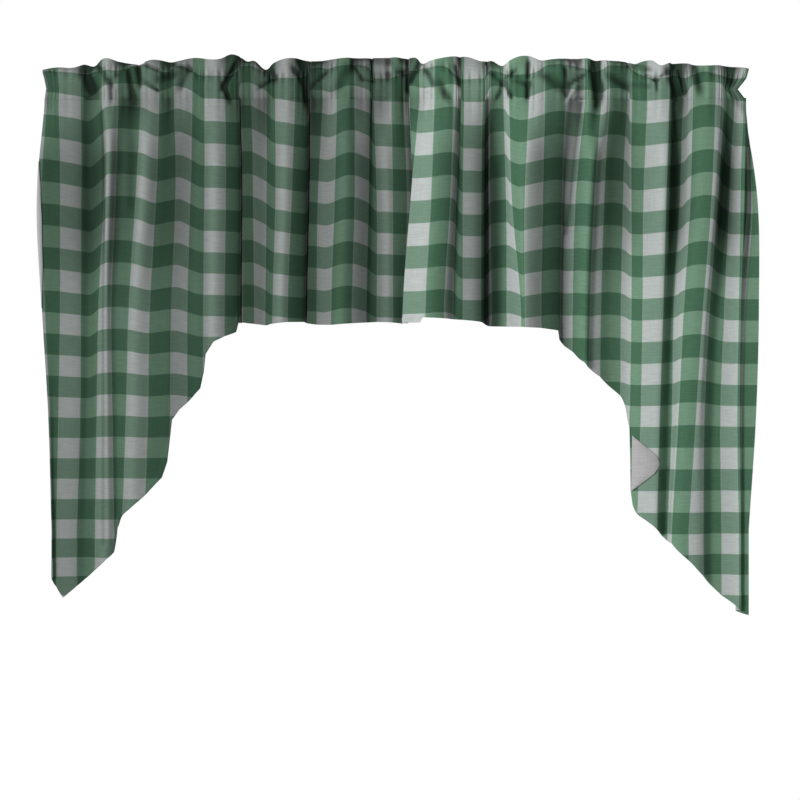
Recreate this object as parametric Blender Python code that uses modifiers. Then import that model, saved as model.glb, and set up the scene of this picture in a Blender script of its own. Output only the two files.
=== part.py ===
"""Rod pocket swag valance in a woven check: a pair of panels side by side on one curtain rod.

Each panel is gathered on its own stitched heading, which is a rod pocket with a standing frill
above it. Below the pocket the cloth hangs in uneven folds, level in the middle of the window and
cut down along a slant to a long tail at the outer side.

Frame: metres, +Z up, +X along the rod to the right, +Y to the wall. The origin is the middle of
the rod line, which is where the rod's axis runs through the pockets. The cloth faces -Y.
"""
import bmesh
import bpy
import numpy as np

MM = 0.001

# The fold tables count the cloth's width in squares of its check, which are 38.1 mm.

# Stitching and cloth, in millimetres
CLOTH_THICK = 2.0
SEAM_DROP = 19.0  # the lower stitch line, below the rod line
SEAM_GAP = 0.3  # left open between a heading and its panel
FRILL_FOOT = 19.0  # the upper stitch line, above the rod line
POCKET_HALF_DEPTH = 14.0
POCKET_SHOULDER = 11.0  # height at which the pocket starts to close, above and below the rod line
POCKET_ROUNDING = 2.6  # how far the pocket has drawn in at its shoulders
POCKET_WALL = 2.0
ROD_WAY_SHOULDER = 9.8  # the same height on the inside of the pocket
ROD_WAY_FLOOR = 13.4
ROD_WAY_ROOF = 15.0
FRILL_THICK = 3.0  # two plies
# How much of a fold's depth the pocket's front and back and the frill's top take up
FRONT_FOLLOWS = 0.5
BACK_FOLLOWS = 0.4
FRILL_FOLLOWS = 0.6
FOOT_FOLLOWS = 0.3
BULGE_IN = 2.0  # most that the pocket draws in at a fold, and most that it stands out
BULGE_OUT = 6.0

# The sheet's mesh
ROWS_DOWN = 11
SQUARES_PER_COLUMN = 0.4
BLOOM_DROP = 140.0  # drop by which the folds have opened to their full depth
# In a tail the folds grow shallower again: between which drops, by how much, and how long cloth hangs
# that counts as no tail and as a full one
EASE_FROM = 230.0
EASE_TO = 430.0
EASE_SHARE = 0.35
NO_TAIL = 430.0
FULL_TAIL = 700.0

# Drops below the rod line at which the fold tables give the cloth's place along the rod
FOLD_DROPS = (26, 194, 388, 573, 776)

# One row for each fold line, crease or check edge, in millimetres after the first column.
# Columns: squares across the cloth, place along the rod at the five drops,
# depth at the heading, depth once the folds have opened (to the wall is positive)
LEFT_FOLDS = (
    (-0.2, -624, -636, -628, -617, -611, 9, -12),
    (1.0, -598, -598, -598, -601, -605, 2, 2),
    (2.0, -560, -563, -563, -564, -570, 4, 12),
    (2.4, -549, -549, -550, -552, -556, 9, 20),
    (3.0, -521, -522, -530, -533, -536, -4, 3),
    (3.5, -508, -512, -518, -518, -517, -4, -8),
    (4.0, -494, -501, -508, -506, -503, 4, 3),
    (4.4, -483, -490, -499, -498, -497, 9, 8),
    (5.0, -454, -464, -476, -481, -488, 4, -2),
    (5.3, -445, -453, -466, -469, -476, 0, -8),
    (6.0, -422, -429, -440, -443, -450, 2, 1),
    (6.7, -402, -407, -415, -416, -422, 8, 10),
    (7.0, -395, -396, -403, -405, -406, 2, 12),
    (8.0, -363, -369, -374, -374, -376, -4, 8),
    (9.0, -341, -342, -344, -344, -344, -9, -7),
    (9.5, -323, -324, -326, -326, -326, -11, -15),
    (10.0, -305, -305, -307, -307, -307, -4, -9),
    (11.0, -282, -281, -283, -283, -283, 7, 7),
    (11.5, -280, -279, -280, -280, -280, 14, 15),
    (12.0, -277, -276, -276, -276, -276, 9, 12),
    (13.0, -259, -258, -256, -256, -256, 4, 10),
    (14.0, -233, -234, -236, -236, -236, 8, 8),
    (15.0, -217, -217, -222, -222, -222, -4, -7),
    (15.5, -199, -202, -208, -208, -208, -9, -14),
    (16.0, -183, -189, -196, -196, -196, -3, -10),
    (17.0, -160, -163, -167, -167, -167, 9, 9),
    (17.5, -157, -160, -164, -164, -164, 14, 19),
    (18.0, -154, -157, -161, -161, -161, 9, 11),
    (19.0, -134, -143, -145, -145, -145, 4, 4),
    (20.0, -109, -113, -119, -119, -119, -7, -12),
    (20.5, -93, -95, -101, -101, -101, -9, -18),
    (21.0, -78, -78, -83, -83, -83, 0, -12),
    (22.0, -52, -54, -58, -58, -58, 5, 4),
    (22.5, -48, -47, -50, -50, -50, 11, 9),
    (23.0, -44, -39, -39, -39, -39, 5, 8),
    (23.7, -25, -19, -19, -19, -19, 2, -4),
    (24.0, -13, -11, -11, -11, -11, -4, -2),
    (25.0, 8, 14, 9, 9, 9, 5, 7),
    (26.0, 17.9, 26, 39, 39, 39, 9, 14),
)
RIGHT_FOLDS = (
    (0.0, 18.2, 25, 16, 16, 16, 2, -4),
    (0.5, 36, 21, 7, 7, 7, -2, -11),
    (1.5, 62, 56, 46, 46, 46, -9, -17),
    (2.5, 96, 90, 79, 79, 79, -4, -6),
    (3.5, 108, 101, 96, 96, 96, 9, 12),
    (4.5, 115, 113, 113, 113, 113, 4, 13),
    (5.1, 134, 134, 134, 134, 134, 3, 17),
    (5.5, 147, 146, 145, 145, 145, 6, 23),
    (6.5, 153, 155, 155, 155, 155, 9, 34),
    (7.0, 157, 159, 160, 160, 160, 14, 40),
    (7.5, 161, 163, 166, 166, 166, 9, 30),
    (8.5, 184, 189, 190, 190, 190, -2, -6),
    (9.0, 188, 193, 203, 203, 203, -7, -12),
    (9.5, 193, 198, 214, 214, 214, -9, -18),
    (10.0, 208, 209, 217, 217, 217, -9, -22),
    (10.5, 228, 220, 220, 220, 220, -7, -24),
    (11.0, 242, 235, 233, 233, 233, -7, -17),
    (11.5, 256, 253, 250, 250, 250, -4, -6),
    (12.5, 293, 288, 285, 285, 285, 4, 12),
    (12.9, 305, 295, 291, 291, 291, 9, 17),
    (13.3, 321, 304, 300, 300, 300, 5, 10),
    (13.5, 327, 312, 307, 307, 307, -2, 4),
    (14.0, 337, 326, 319, 319, 319, -5, -5),
    (14.3, 349, 337, 330, 330, 330, 9, -8),
    (14.5, 356, 344, 336, 333, 333, 2, -1),
    (15.5, 370, 363, 357, 355, 355, 0, 11),
    (16.0, 385, 379, 374, 372, 372, 5, 16),
    (16.5, 401, 397, 393, 392, 390, 5, 11),
    (17.5, 409, 410, 410, 407, 404, -4, -2),
    (18.5, 436, 429, 428, 425, 418, -9, -18),
    (19.0, 455, 448, 445, 441, 436, -11, -24),
    (19.5, 474, 467, 463, 457, 452, -7, -25),
    (20.2, 487, 485, 476, 473, 467, 11, 5),
    (20.5, 500, 496, 485, 482, 474, 5, 2),
    (21.5, 516, 512, 501, 492, 480, -5, -12),
    (22.0, 534, 529, 517, 506, 492, -9, -19),
    (22.5, 556, 548, 534, 522, 509, -5, -18),
    (23.5, 572, 561, 547, 538, 536, 4, -4),
    (24.0, 582, 573, 561, 554, 552, 9, 17),
    (24.5, 591, 586, 576, 569, 571, 7, 16),
    (25.5, 606, 603, 600, 597, 600, 0, 2),
    (25.8, 611, 609, 603, 601, 603, 2, -2),
    (26.2, 609, 607, 600, 598, 600, 9, 8),
    (26.5, 610, 617, 598, 594, 597, 12, 13),
    (27.5, 612, 626, 612, 607, 605, 22, 12),
    (28.3, 610, 634, 636, 631, 618, 36, 8),
)

# Where the cloth is cut off below. Columns: squares across the cloth, drop of the hem in millimetres
LEFT_HEM = (
    (-0.2, 857), (0.6, 866), (1.0, 876), (1.4, 896), (2.0, 876), (3.0, 846), (3.5, 829),
    (4.0, 815), (4.4, 773), (5.0, 749), (6.0, 715), (6.7, 684), (6.9, 656), (7.0, 617),
    (7.1, 582), (7.5, 564), (8.0, 551), (8.8, 526), (9.0, 497), (9.1, 466), (9.5, 445),
    (10.0, 435), (10.7, 427), (10.9, 411), (12.0, 410), (14.0, 415), (16.0, 410), (17.0, 409),
    (19.0, 414), (20.0, 415), (21.5, 411), (23.0, 409), (24.9, 412), (25.3, 402), (26.0, 400),
)
RIGHT_HEM = (
    (0.0, 412), (1.3, 411), (1.4, 402), (4.5, 405), (5.5, 408), (7.0, 415), (8.5, 418), (11.5, 420),
    (12.4, 424), (12.5, 440), (13.3, 456), (14.5, 489), (15.5, 505), (16.5, 540), (17.0, 564),
    (17.5, 596), (17.8, 707), (18.1, 732), (18.5, 748), (19.5, 773), (20.5, 796), (21.5, 799),
    (22.5, 829), (23.5, 856), (24.5, 893), (25.5, 916), (26.5, 919), (28.3, 927),
)

# The frill's top edge. Columns: place along the rod, height above the rod line, in millimetres
LEFT_FRILL = (
    (-632, 35), (-600, 39), (-572, 39), (-557, 45), (-533, 43), (-526, 50), (-492, 49),
    (-455, 46), (-441, 51), (-393, 49), (-367, 54), (-312, 53), (-296, 61), (-280, 58),
    (-268, 50), (-256, 51), (-236, 37), (-220, 46), (-182, 54), (-155, 51), (-78, 55), (18, 55),
)
RIGHT_FRILL = (
    (18, 55), (30, 55), (41, 45), (55, 49), (95, 57), (120, 57), (146, 50), (164, 51),
    (182, 41), (198, 51), (215, 57), (228, 57), (250, 50), (270, 53), (333, 54), (358, 51),
    (399, 49), (416, 44), (430, 48), (446, 48), (457, 41), (478, 46), (505, 46), (526, 41),
    (566, 42), (593, 40), (615, 36),
)

# Least rod from one section of a heading to the next
SECTION_STEP = 1.5
# A pocket's outer end draws in and the frill above it stands out, over this much rod
END_REACH = 45.0
LEFT_END_IN = 4.0
RIGHT_END_IN = 15.0
FRILL_END_OUT = 6.0

GREEN = (0.075, 0.24, 0.13, 1.0)
PALE_GREEN = (0.16, 0.33, 0.22, 1.0)


def clear_scene():
    for obj in list(bpy.data.objects):
        bpy.data.objects.remove(obj, do_unlink=True)


def cloth_material(name, colour):
    material = bpy.data.materials.new(name)
    material.use_nodes = True
    shader = material.node_tree.nodes["Principled BSDF"]
    shader.inputs["Base Color"].default_value = colour
    shader.inputs["Roughness"].default_value = 0.85
    return material


def eased(places, knots, values):
    """Values at the places, on a curve that passes smoothly through the knots and is held past both ends."""
    knots = np.asarray(knots, float)
    values = np.asarray(values, float)
    places = np.clip(places, knots[0], knots[-1])
    slopes = np.gradient(values, knots, axis=0)
    span = np.clip(np.searchsorted(knots, places, side="right") - 1, 0, len(knots) - 2)
    width = knots[span + 1] - knots[span]
    t = ((places - knots[span]) / width)[:, None]
    width = width[:, None]
    start = (2 * t**3 - 3 * t**2 + 1) * values[span] + (t**3 - 2 * t**2 + t) * width * slopes[span]
    end = (3 * t**2 - 2 * t**3) * values[span + 1] + (t**3 - t**2) * width * slopes[span + 1]
    return start + end


def step_up(drops, start, end):
    """A soft step from 0 to 1 between two drops."""
    share = np.clip((drops - start) / (end - start), 0, 1)
    return share * share * (3 - 2 * share)


def hung(folds, squares, drops):
    """Points of the hanging cloth in millimetres: drops has one row for each row down the cloth, the
    hem's last, and one column for each entry of squares."""
    table = np.array(folds, float)
    across = eased(squares, table[:, 0], table[:, 1:6])
    depth = eased(squares, table[:, 0], table[:, 6:8])
    shares = eased(drops.ravel(), FOLD_DROPS, np.eye(len(FOLD_DROPS)))
    x = (shares.reshape(*drops.shape, len(FOLD_DROPS)) * across).sum(axis=2)
    y = depth[:, 0] + (depth[:, 1] - depth[:, 0]) * step_up(drops, SEAM_DROP, BLOOM_DROP)
    y *= 1 - EASE_SHARE * step_up(drops[-1], NO_TAIL, FULL_TAIL) * step_up(drops, EASE_FROM, EASE_TO)
    return np.stack([x, y, -drops], axis=2)


def columns_between(folds):
    """Squares across the cloth for each column of the mesh: every fold row, and evenly between rows."""
    knots = [row[0] for row in folds]
    columns = []
    for left, right in zip(knots, knots[1:]):
        parts = max(1, round((right - left) / SQUARES_PER_COLUMN))
        columns.extend(left + (right - left) * part / parts for part in range(parts))
    return np.array(columns + [knots[-1]])


def finish(mesh, name, collection, material):
    mesh.materials.append(material)
    mesh.shade_smooth()
    obj = bpy.data.objects.new(name, mesh)
    collection.objects.link(obj)
    return obj


def hanging_panel(name, folds, hem, collection, material):
    """One panel: a flat grid laid out on the cloth, moved to where the cloth hangs, then made thick."""
    squares = columns_between(folds)
    hem = np.array(hem, float)
    length = np.interp(squares, hem[:, 0], hem[:, 1])
    top = SEAM_DROP + SEAM_GAP
    down = np.linspace(0, 1, ROWS_DOWN + 1)[:, None]
    points = hung(folds, squares, top + down * (length - top)) * MM
    grid = bmesh.new()
    bmesh.ops.create_grid(grid, x_segments=len(squares) - 1, y_segments=ROWS_DOWN, size=1)
    for vert in grid.verts:
        column = round((vert.co.x + 1) / 2 * (len(squares) - 1))
        row = round((1 - vert.co.y) / 2 * ROWS_DOWN)
        vert.co = points[row, column]
    mesh = bpy.data.meshes.new(name)
    grid.to_mesh(mesh)
    grid.free()
    panel = finish(mesh, name, collection, material)
    thick = panel.modifiers.new("cloth", "SOLIDIFY")
    thick.thickness = CLOTH_THICK * MM
    thick.offset = 0
    return panel


def heading_section(fold, frill_top):
    """Outer and inner outline of the heading across the rod, as (depth, height) in millimetres.

    The outer one runs from the seam up the front, over the frill and down the back. The inner one
    is the rod's way through, with as many points. The pocket bulges with a fold that stands forward.
    """
    front = -POCKET_HALF_DEPTH - np.clip(-FRONT_FOLLOWS * fold, -BULGE_IN, BULGE_OUT)
    back = POCKET_HALF_DEPTH + np.clip(BACK_FOLLOWS * fold, -BULGE_IN, BULGE_OUT)
    ply = FRILL_THICK / 2
    lean = FRILL_FOLLOWS * fold
    middle = (FRILL_FOOT + frill_top) / 2
    rounding, shoulder = POCKET_ROUNDING, POCKET_SHOULDER
    outer = [
        (fold - ply, -SEAM_DROP), (front + rounding, -shoulder), (front, 0), (front + rounding, shoulder),
        (-ply, FRILL_FOOT), (lean / 2 - ply, middle), (lean - ply, frill_top),
        (lean + ply, frill_top), (lean / 2 + ply, middle), (ply, FRILL_FOOT),
        (back - rounding, shoulder), (back, 0), (back - rounding, -shoulder), (fold + ply, -SEAM_DROP),
    ]
    front, back, shoulder = front + POCKET_WALL, back - POCKET_WALL, ROD_WAY_SHOULDER
    foot = FOOT_FOLLOWS * fold
    under_frill = [(side * ply, ROD_WAY_ROOF - abs(side) / 2) for side in (-1, -0.6, -0.2, 0.2, 0.6, 1)]
    inner = [
        (foot - ply / 2, -ROD_WAY_FLOOR), (front + rounding, -shoulder), (front, 0),
        (front + rounding, shoulder), *under_frill, (back - rounding, shoulder),
        (back, 0), (back - rounding, -shoulder), (foot + ply / 2, -ROD_WAY_FLOOR),
    ]
    return np.array(outer), np.array(inner)


def end_shift(x, heights, outer_end, draw_in):
    """How far points at these heights move along the rod near the pocket's outer end."""
    near = max(0.0, 1 - abs(x - outer_end) / END_REACH)
    pocket = np.clip(1 - np.abs(heights) / FRILL_FOOT, 0, 1)
    frill = np.clip((heights - FRILL_FOOT) / FRILL_FOOT, 0, 1)
    return np.sign(outer_end) * near * (FRILL_END_OUT * frill - draw_in * pocket)


def pocket_heading(name, folds, frill, draw_in, collection, material):
    """One heading: matched outer and inner outlines at every fold, lofted along the rod."""
    table = np.array(folds, float)
    x_top = table[:, 1]
    onward = np.diff(np.maximum.accumulate(x_top)) > SECTION_STEP
    rows = table[np.concatenate([[True], onward])]
    frill = np.array(frill, float)
    outer_end = max(rows[0][1], rows[-1][1], key=abs)
    points = []
    for row in rows:
        x, fold = row[1], row[6]
        outer, inner = heading_section(fold, np.interp(x, frill[:, 0], frill[:, 1]))
        for outline in (outer, inner):
            along = x + end_shift(x, outline[:, 1], outer_end, draw_in)
            points.append(np.column_stack([along, outline]))
    count = len(points[0])
    points = np.array(points).reshape(-1, 3) * MM
    ring = np.arange(count)
    ahead = (ring + 1) % count
    faces = []
    for section in range(len(rows) - 1):
        outer, inner = section * 2 * count, (section * 2 + 1) * count
        step = 2 * count
        faces += zip(outer + ring, outer + step + ring, outer + step + ahead, outer + ahead)
        faces += zip(inner + ring, inner + ahead, inner + step + ahead, inner + step + ring)
    last = (len(rows) - 1) * 2 * count
    faces += zip(ring, ahead, count + ahead, count + ring)
    faces += zip(last + ring, last + count + ring, last + count + ahead, last + ahead)
    mesh = bpy.data.meshes.new(name)
    mesh.from_pydata(points.tolist(), [], [tuple(int(i) for i in face) for face in faces])
    return finish(mesh, name, collection, material)


def build():
    clear_scene()
    collection = bpy.data.collections.new("rod_pocket_swag_valance")
    bpy.context.scene.collection.children.link(collection)
    left_cloth = cloth_material("left panel cloth", GREEN)
    right_cloth = cloth_material("right panel cloth", GREEN)
    left_gathered = cloth_material("left heading cloth", PALE_GREEN)
    right_gathered = cloth_material("right heading cloth", PALE_GREEN)
    pocket_heading("left_heading", LEFT_FOLDS, LEFT_FRILL, LEFT_END_IN, collection, left_gathered)
    hanging_panel("left_panel", LEFT_FOLDS, LEFT_HEM, collection, left_cloth)
    pocket_heading("right_heading", RIGHT_FOLDS, RIGHT_FRILL, RIGHT_END_IN, collection, right_gathered)
    hanging_panel("right_panel", RIGHT_FOLDS, RIGHT_HEM, collection, right_cloth)


build()
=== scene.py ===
"""How the rod pocket swag valance looks: the woven check, the gathers, the stitching and the light.

Metres, +Z up, +X along the rod to the right, +Y to the wall, and the cloth faces -Y. The origin is
the middle of the rod line. The fold tables are those of the solids, in millimetres, and count the
cloth's width in squares of its check.
"""

import bpy
import numpy as np
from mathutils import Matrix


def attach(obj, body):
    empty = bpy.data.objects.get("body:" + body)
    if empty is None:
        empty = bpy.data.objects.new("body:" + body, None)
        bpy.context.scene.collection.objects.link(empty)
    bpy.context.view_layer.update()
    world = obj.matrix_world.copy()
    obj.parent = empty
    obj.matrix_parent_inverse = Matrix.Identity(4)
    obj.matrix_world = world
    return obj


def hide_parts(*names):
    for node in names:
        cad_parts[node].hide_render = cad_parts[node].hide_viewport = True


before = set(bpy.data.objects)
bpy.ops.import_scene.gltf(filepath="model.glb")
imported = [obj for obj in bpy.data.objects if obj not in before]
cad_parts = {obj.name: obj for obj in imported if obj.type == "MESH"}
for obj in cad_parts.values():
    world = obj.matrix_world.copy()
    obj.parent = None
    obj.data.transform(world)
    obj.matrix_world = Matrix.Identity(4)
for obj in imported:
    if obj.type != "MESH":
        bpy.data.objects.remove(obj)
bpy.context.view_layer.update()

# The cloth of both swags is a cotton in plain weave, green and off-white yarn in each direction, so
# that a square is white, half green one way, half green the other way, or green both ways. The
# print side faces the room. The reverse shows as plain pale grey where a hem turns over.
MM = 0.001
SQUARE = 38.1
YARNS_IN_SQUARE = 48
WHITE = (0.74, 0.80, 0.775, 1)
GREEN_WEFT = (0.268, 0.43, 0.318, 1)
GREEN_WARP = (0.256, 0.45, 0.305, 1)
GREEN_BOTH = (0.1, 0.235, 0.138, 1)
REVERSE_GREY = (0.55, 0.54, 0.55, 1)
CHECK_COLOURS = (WHITE, GREEN_WEFT, GREEN_WARP, GREEN_BOTH)
EDGE_STEEP = 36.0  # steepness of the step from one square's colour to the next
PALE_HALF_WIDE = 0.03  # half width, in squares, of the paler yarn at a column's edge, and its share
PALE_SHARE = 0.16
WARP_SLUB = 0.62  # share of the slubs that lie along the warp
CROWN_VARIES = 0.14  # how much of the colour the yarns' crossings and the slubs change, and how far a full painted shade in the folds darkens it
SLUB_VARIES = 0.6
PAINTED_SHADE_DIMS = 0.84
SLUB_RAISES = 1.4  # height of a slub over that of a crossing


def math_node(tree, operation, *values, clamp=False):
    """One Math node, whose inputs are sockets or plain numbers. Returns its output."""
    node = tree.nodes.new("ShaderNodeMath")
    node.operation = operation
    node.use_clamp = clamp
    for socket, value in zip(node.inputs, values):
        if isinstance(value, (int, float)):
            socket.default_value = value
        else:
            tree.links.new(value, socket)
    return node.outputs[0]


def mix_node(tree, share, one, other):
    """A colour mix of one and other, which are sockets or colours. Returns its colour output."""
    node = tree.nodes.new("ShaderNodeMix")
    node.data_type = "RGBA"
    for name, value in (("Factor", share), ("A", one), ("B", other)):
        if isinstance(value, (tuple, float)):
            node.inputs[name].default_value = value
        else:
            tree.links.new(value, node.inputs[name])
    return node.outputs["Result"]


def yarn_group():
    """Plain weave on a UV map that counts squares. Crown is a checkerboard of rounded yarn crossings,
    from the product of two sines at the yarn count. Slub is stretched noise along each yarn."""
    group = bpy.data.node_groups.new("plain weave yarns", "ShaderNodeTree")
    for name in ("Crown", "Slub"):
        group.interface.new_socket(name, in_out="OUTPUT", socket_type="NodeSocketFloat")
    out = group.nodes.new("NodeGroupOutput")
    uv = group.nodes.new("ShaderNodeUVMap")
    uv.uv_map = "cloth"
    split = group.nodes.new("ShaderNodeSeparateXYZ")
    group.links.new(uv.outputs["UV"], split.inputs[0])
    turn = np.pi * YARNS_IN_SQUARE
    warp = math_node(group, "SINE", math_node(group, "MULTIPLY", split.outputs["X"], float(turn)))
    weft = math_node(group, "SINE", math_node(group, "MULTIPLY", split.outputs["Y"], float(turn)))
    crown = math_node(group, "MULTIPLY_ADD", math_node(group, "MULTIPLY", warp, weft), 0.5, 0.5)
    group.links.new(crown, out.inputs["Crown"])
    slubs = []
    for stretch in ((1.6, 17.0, 1.0), (20.0, 1.2, 1.0)):
        mapping = group.nodes.new("ShaderNodeMapping")
        mapping.inputs["Scale"].default_value = stretch
        noise = group.nodes.new("ShaderNodeTexNoise")
        noise.inputs["Scale"].default_value = 1.0
        noise.inputs["Detail"].default_value = 2.0
        group.links.new(uv.outputs["UV"], mapping.inputs["Vector"])
        group.links.new(mapping.outputs[0], noise.inputs["Vector"])
        slubs.append(noise.outputs["Fac"])
    along_warp = math_node(group, "MULTIPLY", slubs[0], WARP_SLUB)
    along_weft = math_node(group, "MULTIPLY", slubs[1], 1 - WARP_SLUB)
    group.links.new(math_node(group, "ADD", along_warp, along_weft), out.inputs["Slub"])
    return group


def buffalo_check_group():
    """Four cloth colours by two half-square waves. Warp is 1 in the green columns and Weft in the
    green rows, each a soft step about one yarn wide. A paler yarn runs along each column's edge."""
    group = bpy.data.node_groups.new("buffalo check", "ShaderNodeTree")
    for name, colour in zip(("White", "Green Weft", "Green Warp", "Green Both"), CHECK_COLOURS):
        socket = group.interface.new_socket(name, in_out="INPUT", socket_type="NodeSocketColor")
        socket.default_value = colour
    group.interface.new_socket("Color", in_out="OUTPUT", socket_type="NodeSocketColor")
    into, out = group.nodes.new("NodeGroupInput"), group.nodes.new("NodeGroupOutput")
    uv = group.nodes.new("ShaderNodeUVMap")
    uv.uv_map = "cloth"
    split = group.nodes.new("ShaderNodeSeparateXYZ")
    group.links.new(uv.outputs["UV"], split.inputs[0])
    waves = []
    for axis in ("X", "Y"):
        saw = math_node(group, "PINGPONG", math_node(group, "SUBTRACT", split.outputs[axis], 0.5), 1.0)
        from_edge = math_node(group, "SUBTRACT", saw, 0.5)
        waves.append(math_node(group, "MULTIPLY_ADD", from_edge, EDGE_STEEP, 0.5, clamp=True))
    rows = mix_node(group, waves[1], into.outputs["White"], into.outputs["Green Weft"])
    green_rows = mix_node(group, waves[1], into.outputs["Green Warp"], into.outputs["Green Both"])
    colour = mix_node(group, waves[0], green_rows, rows)
    past = math_node(group, "FRACT", math_node(group, "ADD", split.outputs["X"], 0.5))
    edge = math_node(group, "ABSOLUTE", math_node(group, "SUBTRACT", past, 0.5))
    pale = math_node(group, "MULTIPLY", math_node(group, "LESS_THAN", edge, PALE_HALF_WIDE), PALE_SHARE)
    group.links.new(mix_node(group, pale, colour, into.outputs["White"]), out.inputs["Color"])
    return group


YARNS = yarn_group()
CHECK = buffalo_check_group()


def cloth_material(name, colours, tone, checked=True):
    """Cotton: its colour from the check or plain, darkened where yarns cross and varied by slubs. On the check it
    is also darkened by painted shade where the cloth lies deep in its folds.
    """
    material = bpy.data.materials.new(name)
    material.use_nodes = True
    tree = material.node_tree
    shader = tree.nodes["Principled BSDF"]
    shader.inputs["Roughness"].default_value = 0.8
    shader.inputs["Specular IOR Level"].default_value = 0.12
    toned = [tuple(channel * tone for channel in colour[:3]) + (1,) for colour in colours]
    yarns = tree.nodes.new("ShaderNodeGroup")
    yarns.node_tree = YARNS
    if checked:
        check = tree.nodes.new("ShaderNodeGroup")
        check.node_tree = CHECK
        for socket, colour in zip(check.inputs, toned):
            socket.default_value = colour
        colour = check.outputs["Color"]
    else:
        colour = toned[0]
    slub = math_node(tree, "MULTIPLY_ADD", yarns.outputs["Slub"], SLUB_VARIES, 1 - SLUB_VARIES / 2)
    crown = math_node(tree, "MULTIPLY_ADD", yarns.outputs["Crown"], CROWN_VARIES, 1 - CROWN_VARIES / 2)
    shade = math_node(tree, "MULTIPLY", crown, slub)
    # Painted shade: the check's colour is darkened by the share of shade stored on each point, which is larger
    # deep in the folds.
    if checked:
        painted_shade = tree.nodes.new("ShaderNodeAttribute")
        painted_shade.attribute_name = "painted_shade"
        dim = math_node(tree, "MULTIPLY_ADD", painted_shade.outputs["Fac"], -PAINTED_SHADE_DIMS, 1.0)
        shade = math_node(tree, "MULTIPLY", shade, dim)
    tint = tree.nodes.new("ShaderNodeVectorMath")
    tint.operation = "SCALE"
    if checked:
        tree.links.new(colour, tint.inputs[0])
    else:
        tint.inputs[0].default_value = colour[:3]
    tree.links.new(shade, tint.inputs["Scale"])
    tree.links.new(tint.outputs[0], shader.inputs["Base Color"])
    bump = tree.nodes.new("ShaderNodeBump")
    bump.inputs["Strength"].default_value = 0.25
    bump.inputs["Distance"].default_value = 0.2 * MM
    raised = math_node(tree, "MULTIPLY", yarns.outputs["Slub"], SLUB_RAISES)
    height = math_node(tree, "ADD", yarns.outputs["Crown"], raised)
    tree.links.new(height, bump.inputs["Height"])
    tree.links.new(bump.outputs[0], shader.inputs["Normal"])
    return material


reverse_side = cloth_material("cloth reverse", (REVERSE_GREY,), 1.0, checked=False)

# Left swag. Cut from one piece of the check, about 1 m wide before it is gathered, with a long tail
# at its outer side. It hangs from the pocket's lower seam, and its side hem rolls forward a little.
SEAM_DROP = 19.0
BLOOM_DROP = 140.0  # drop by which the folds have opened to their full depth
# In a tail the folds grow shallower again: between which drops, by how much, and how long cloth hangs
# that counts as no tail and as a full one
EASE_FROM = 230.0
EASE_TO = 430.0
EASE_SHARE = 0.35
NO_TAIL = 430.0
FULL_TAIL = 700.0
FOLD_DROPS = (26, 194, 388, 573, 776)
# Columns: squares across the cloth, place along the rod at the five drops, depth at the heading
# and depth once the folds have opened
LEFT_FOLDS = (
    (-0.2, -624, -636, -628, -617, -611, 9, -12),
    (1.0, -598, -598, -598, -601, -605, 2, 2),
    (2.0, -560, -563, -563, -564, -570, 4, 12),
    (2.4, -549, -549, -550, -552, -556, 9, 20),
    (3.0, -521, -522, -530, -533, -536, -4, 3),
    (3.5, -508, -512, -518, -518, -517, -4, -8),
    (4.0, -494, -501, -508, -506, -503, 4, 3),
    (4.4, -483, -490, -499, -498, -497, 9, 8),
    (5.0, -454, -464, -476, -481, -488, 4, -2),
    (5.3, -445, -453, -466, -469, -476, 0, -8),
    (6.0, -422, -429, -440, -443, -450, 2, 1),
    (6.7, -402, -407, -415, -416, -422, 8, 10),
    (7.0, -395, -396, -403, -405, -406, 2, 12),
    (8.0, -363, -369, -374, -374, -376, -4, 8),
    (9.0, -341, -342, -344, -344, -344, -9, -7),
    (9.5, -323, -324, -326, -326, -326, -11, -15),
    (10.0, -305, -305, -307, -307, -307, -4, -9),
    (11.0, -282, -281, -283, -283, -283, 7, 7),
    (11.5, -280, -279, -280, -280, -280, 14, 15),
    (12.0, -277, -276, -276, -276, -276, 9, 12),
    (13.0, -259, -258, -256, -256, -256, 4, 10),
    (14.0, -233, -234, -236, -236, -236, 8, 8),
    (15.0, -217, -217, -222, -222, -222, -4, -7),
    (15.5, -199, -202, -208, -208, -208, -9, -14),
    (16.0, -183, -189, -196, -196, -196, -3, -10),
    (17.0, -160, -163, -167, -167, -167, 9, 9),
    (17.5, -157, -160, -164, -164, -164, 14, 19),
    (18.0, -154, -157, -161, -161, -161, 9, 11),
    (19.0, -134, -143, -145, -145, -145, 4, 4),
    (20.0, -109, -113, -119, -119, -119, -7, -12),
    (20.5, -93, -95, -101, -101, -101, -9, -18),
    (21.0, -78, -78, -83, -83, -83, 0, -12),
    (22.0, -52, -54, -58, -58, -58, 5, 4),
    (22.5, -48, -47, -50, -50, -50, 11, 9),
    (23.0, -44, -39, -39, -39, -39, 5, 8),
    (23.7, -25, -19, -19, -19, -19, 2, -4),
    (24.0, -13, -11, -11, -11, -11, -4, -2),
    (25.0, 8, 14, 9, 9, 9, 5, 7),
    (26.0, 17.9, 26, 39, 39, 39, 9, 14),
)
# Columns: squares across the cloth, drop of the cut hem
LEFT_HEM = (
    (-0.2, 857), (0.6, 866), (1.0, 876), (1.4, 896), (2.0, 876), (3.0, 846), (3.5, 829),
    (4.0, 815), (4.4, 773), (5.0, 749), (6.0, 715), (6.7, 684), (6.9, 656), (7.0, 617),
    (7.1, 582), (7.5, 564), (8.0, 551), (8.8, 526), (9.0, 497), (9.1, 466), (9.5, 445),
    (10.0, 435), (10.7, 427), (10.9, 411), (12.0, 410), (14.0, 415), (16.0, 410), (17.0, 409),
    (19.0, 414), (20.0, 415), (21.5, 411), (23.0, 409), (24.9, 412), (25.3, 402), (26.0, 400),
)
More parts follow.
